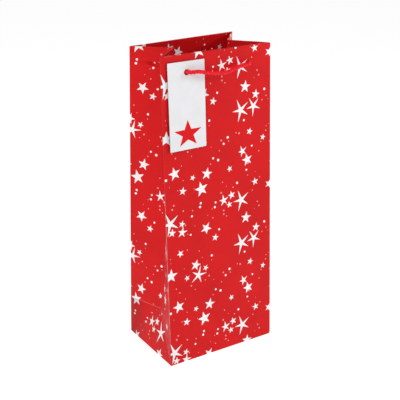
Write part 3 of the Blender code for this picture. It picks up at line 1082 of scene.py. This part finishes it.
@dataclass(frozen=True)
class RopeShape:
    """A cord of three strands laid round each other."""

    spacing: float = 0.0005
    diameter: float = 0.0044
    lay_length: float = 0.0105
    strand: float = 0.55
    columns: int = 27

    def profile(self, angle: np.ndarray) -> np.ndarray:
        """The cord's radius at an angle: the outline of three circles, whose middles lie round the axis, as
        the far crossing of a ray from the axis with the nearest circle."""
        radius = self.diameter / 2
        apart = (1 - self.strand) * radius
        thick = self.strand * radius
        third = 2 * math.pi / 3
        away = (angle + third / 2) % third - third / 2
        return apart * np.cos(away) + np.sqrt(np.maximum(thick**2 - (apart * np.sin(away)) ** 2, 0))

    def mesh(
        self,
        name: str,
        path: np.ndarray,
        up: np.ndarray,
        finish: bpy.types.Material,
        scale: float = 1.0,
        closed: bool = False,
    ) -> bpy.types.Object:
        """The cord along a path: at each place the profile stands square to the path and turns with the lay,
        a whole number of thirds of a turn from end to end, so that two cords that meet match.

        Args:
            name: The piece's name.
            path: The centreline.
            up: A direction that the path never runs along.
            finish: The yarn.
            scale: The cord's thickness, as a share of its full one.
            closed: Whether the path's end runs into its start.

        Returns:
            The cord, with closed ends.
        """
        tangent = unit(np.gradient(path, axis=0))
        if closed:
            tangent[[0, -1]] = unit(path[1] - path[-2])
        normal = unit(up - (tangent @ up)[:, None] * tangent)
        side = np.cross(tangent, normal)
        run = np.linspace(0, 1, len(path))
        total = length_of(path)
        thirds = max(1, round(3 * total / (self.lay_length * scale)))
        lay = run * thirds * 2 * math.pi / 3
        own = np.arange(self.columns) * 2 * math.pi / self.columns
        angle = own[None, :] + lay[:, None]
        reach = self.profile(own)[None, :, None] * scale
        away = np.cos(angle)[..., None] * normal[:, None] + np.sin(angle)[..., None] * side[:, None]
        wall = path[:, None] + reach * away
        rings, count = len(path), self.columns
        index = np.arange(rings * count).reshape(rings, count)
        here, there = index[:-1], index[1:]
        quads = np.stack([here, np.roll(here, -1, 1), np.roll(there, -1, 1), there], axis=-1).reshape(-1, 4)
        faces = quads.tolist() + [index[0, ::-1].tolist(), index[-1].tolist()]
        points = wall.reshape(-1, 3)
        u = np.broadcast_to(np.arange(count) / count, (rings, count)).ravel()
        v = np.repeat(run * total, count)
        corners = np.concatenate([quads.ravel(), index[0, ::-1], index[-1]])
        uv = np.stack([u[corners], v[corners]], axis=1)
        wrap = (quads % count == 0) & ((quads[:, :1] % count) == count - 1)
        uv[: quads.size, 0][wrap.ravel()] = 1.0
        across = np.roll(wall, -1, 1) - np.roll(wall, 1, 1)
        along = np.gradient(wall, axis=0)
        outward = unit(np.cross(across, along)).reshape(-1, 3)
        caps = np.concatenate([np.repeat(-tangent[:1], count, 0), np.repeat(tangent[-1:], count, 0)])
        normals = np.concatenate([outward[quads.ravel()], caps])
        return mesh_object(name, points, faces, uv, normals, np.zeros(len(faces)), [finish])


class Panel(Enum):
    """The two panels that carry a handle, each with the sign of its Y."""

    FRONT = -1
    BACK = 1


@dataclass(frozen=True)
class CordHandle:
    """One cord handle: the loop outside its panel, and two tails that go through the holes and end in knots.

    The routes are in millimetres. A tail's are towards the middle of the bag, out from the panel and up, from
    its hole. The loop's are along the panel from the left end, and up.
    """

    panel: Panel
    body: PaperBody
    rope: RopeShape = RopeShape()
    tail_route: tuple = (
        (7.0, 7.5, 0.0), (6.0, 7.5, 0.0), (3.8, 6.8, 0.0), (1.8, 5.3, 0.0), (0.5, 3.1, 0.0), (0.0, 0.5, 0.0),
        (0.0, -2.5, 0.0), (0.0, -5.2, -0.6), (0.0, -7.5, -2.2), (0.2, -9.0, -4.8), (0.4, -9.6, -8.0),
        (0.9, -10.0, -20.0), (1.8, -10.2, -40.0), (2.1, -10.0, -62.0), (1.6, -9.8, -84.0),
    )
    loop_route: tuple = (
        (0.0, 0.0), (2.0, 0.0), (9.5, -1.6), (19.5, -3.7), (29.5, -4.9), (37.0, -4.6), (43.5, -3.1),
        (50.0, -1.2), (57.0, 0.0), (59.0, 0.0),
    )
    knot_size: float = 0.00086
    knot_rise: float = 2.1
    knot_cord: float = 0.80
    knot_drop: float = 0.0045

    @property
    def label(self) -> str:
        """The panel's name in the names of the pieces."""
        return self.panel.name.lower()

    def hole(self, hand: int) -> np.ndarray:
        """The middle of a hole, on the panel's outer face."""
        x = hand * self.body.hole_x
        z = np.array([self.body.hole_z])
        y = self.body.front_y(z) if self.panel is Panel.FRONT else self.body.back_y(x, z)
        return np.array([x, float(y[0]), self.body.hole_z])

    def tail_points(self, hand: int) -> np.ndarray:
        """A tail's route in space."""
        route = np.array(self.tail_route) * MM
        return self.hole(hand) + route * np.array([-hand, self.panel.value, 1.0])

    def knot_path(self, end: np.ndarray) -> np.ndarray:
        """An overhand knot's centreline under a tail's end, as a trefoil: (sin a + 2 sin 2a,
        cos a - 2 cos 2a, -sin 3a), the last times the knot's rise."""
        a = np.linspace(0, 2 * math.pi, 240)
        x, y = np.sin(a) + 2 * np.sin(2 * a), np.cos(a) - 2 * np.cos(2 * a)
        knot = np.stack([x, y, -np.sin(3 * a) * self.knot_rise], axis=1)
        return end + knot * self.knot_size - np.array([0, 0, self.knot_drop])

    def build(self, finish: bpy.types.Material) -> list[bpy.types.Object]:
        """Args:
            finish: The yarn.

        Returns:
            The pieces.
        """
        made = []
        upwards = np.array([0.0, 0.0, 1.0])
        ends = {hand: self.tail_points(hand)[0] for hand in (-1, 1)}
        for hand, hand_name in ((-1, "left"), (1, "right")):
            name = f"{self.label}_{hand_name}_cord"
            route = self.tail_points(hand)
            path = smooth_path(route, self.rope.spacing)
            tail = self.rope.mesh(f"{name}_tail", path, unit(np.array([1.0, 0.0, 1.0])), finish)
            centre = self.knot_path(route[-1])
            knot = self.rope.mesh(f"{name}_knot", centre, upwards, finish, self.knot_cord, True)
            for piece, part in ((tail, "tail"), (knot, "knot")):
                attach(piece, "bag")
                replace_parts(piece, f"{self.label}_cord_{hand_name}_{part}")
            made += [tail, knot]
        along = ends[1] - ends[-1]
        share = np.linalg.norm(along) / self.loop_route[-1][0]
        places = [ends[-1] + unit(along) * run * share + upwards * up * MM for run, up in self.loop_route]
        route = np.array(places)
        path = smooth_path(route, self.rope.spacing)
        loop = self.rope.mesh(f"{self.label}_cord_handle", path, upwards, finish)
        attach(loop, f"{self.label}_handle")
        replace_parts(loop, f"{self.label}_cord_loop")
        return [*made, loop]


# ---- the studio


@dataclass(frozen=True)
class Studio:
    """The camera, the pale sweep and the soft lights."""

    camera_place: tuple[float, float, float] = (-0.4762, -0.7531, 0.5160)
    yaw: float = 32.29
    pitch: float = 20.47
    lens: float = 80.4
    sensor: float = 36.0
    shift_up: float = -0.049
    sky: float = 0.42
    floor_size: float = 12.0
    aim: tuple[float, float, float] = (0, 0, 0.16)
    boxes: tuple = (
        ("left_box", (-1.05, -0.42, 1.00), 0.7, 8.0),
        ("sheen_box", (0.90, -0.98, 0.32), 0.40, 1.3),
        ("mouth_box", (0.75, -0.55, 0.74), 0.25, 3.2),
    )

    def camera(self) -> bpy.types.Object:
        """The camera, level and turned to the bag's left front."""
        data = bpy.data.cameras.new("camera")
        data.lens, data.sensor_width, data.shift_y = self.lens, self.sensor, self.shift_up
        data.clip_start, data.clip_end = 0.01, 100.0
        camera = bpy.data.objects.new("camera", data)
        camera.location = self.camera_place
        camera.rotation_euler = (math.radians(90 - self.pitch), 0, math.radians(-self.yaw))
        bpy.context.scene.collection.objects.link(camera)
        bpy.context.scene.camera = camera
        return camera

    def light(self, name: str, place: tuple, size: float, power: float) -> None:
        """A square soft box that faces the bag's middle."""
        data = bpy.data.lights.new(name, "AREA")
        data.size, data.energy = size, power
        lamp = bpy.data.objects.new(name, data)
        lamp.location = place
        beam = Vector(self.aim) - Vector(place)
        lamp.rotation_euler = beam.to_track_quat("-Z", "Y").to_euler()
        bpy.context.scene.collection.objects.link(lamp)

    def build(self) -> None:
        """Makes the floor, the sky and the lights, and shows colours as they are."""
        half = self.floor_size / 2
        mesh = bpy.data.meshes.new("floor")
        corners = [(-half, -half, 0), (half, -half, 0), (half, half, 0), (-half, half, 0)]
        mesh.from_pydata(corners, [], [(0, 1, 2, 3)])
        mesh.materials.append(StudioWhite().material())
        floor = bpy.data.objects.new("floor", mesh)
        bpy.context.scene.collection.objects.link(floor)
        world = bpy.data.worlds.new("sky")
        world.use_nodes = True
        backdrop = world.node_tree.nodes["Background"]
        backdrop.inputs["Color"].default_value = (1, 1, 1, 1)
        backdrop.inputs["Strength"].default_value = self.sky
        bpy.context.scene.world = world
        for name, place, size, power in self.boxes:
            self.light(name, place, size, power)
        bpy.context.scene.view_settings.view_transform = "Standard"


# ---- the frame's own pieces, and everything in order


def tag_pin() -> Vector:
    """The place of the joint that the tag swings about, in the tag's hole."""
    return Vector(next(joint["pos_m"] for joint in frame["joints"] if joint["name"] == "tag_swing"))


def measure_body(pin: Vector) -> PaperBody:
    """Reads the bag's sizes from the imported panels.

    Args:
        pin: The place of the tag's joint, which gives the cord holes' places.

    Returns:
        The sheet, not yet built.
    """
    front_low, front_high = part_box("front_panel")
    gusset_low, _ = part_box("left_gusset_front_half")
    height = front_high.z
    return PaperBody(
        width=round(-2 * gusset_low.x, 4),
        depth=round(-2 * front_low.y, 4),
        height=round(height, 4),
        front_mouth=round(-_mouth("front_panel", -1, height), 4),
        back_mouth_left=round(_mouth("back_panel", 1, height, -1), 4),
        back_mouth_right=round(_mouth("back_panel", 1, height, 1), 4),
        hole_x=round(-pin.x, 6),
        hole_z=round(pin.z, 6),
    )


def _mouth(node: str, side: int, height: float, hand: int = 0) -> float:
    """The Y of a packed panel's outer face at its top edge, at its left end, its right end or either."""
    points = [vertex.co for vertex in frame["nodes"][node].data.vertices]
    found = [co for co in points if abs(co.z - height) < 1e-5 and co.x * hand >= 0]
    widest = max(abs(co.x) for co in found)
    ends = [co for co in found if abs(abs(co.x) - widest) < 1e-5]
    return max((co.y for co in ends), key=lambda y: y * side)


def dress_board() -> None:
    """Gives the loose base board and the stiffening cards their finish."""
    board = GreyBoard().material()
    for name in ("base_board", "front_top_card", "back_top_card"):
        node = frame["nodes"][name]
        node.data.materials.clear()
        node.data.materials.append(board)
        LOG.info("%s dressed", name)


def main() -> None:
    """Builds everything in order: the camera, the cords, the sheet, the tag and the studio."""
    logging.basicConfig(level=logging.INFO, format="%(name)s: %(message)s")
    studio = Studio()
    studio.camera()
    pin = tag_pin()
    body = measure_body(pin)
    LOG.info("sizes %s", body)
    yarn = TwistedYarn().material()
    for panel in Panel:
        for piece in CordHandle(panel, body).build(yarn):
            LOG.info("%s made", piece.name)
    finish = LaminatedPrint(folds=body.folds, knee=body.knee, mouth=body.height, back_edge=body.folds[3])
    sheet = body.build(finish, BarePaper())
    LOG.info("%s made, %d faces", sheet.name, len(sheet.data.polygons))
    tag = GiftTag().build(body, TagCard(), pin)
    LOG.info("%s made", tag.name)
    dress_board()
    studio.build()
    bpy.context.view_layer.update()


if __name__ == "__main__":
    main()
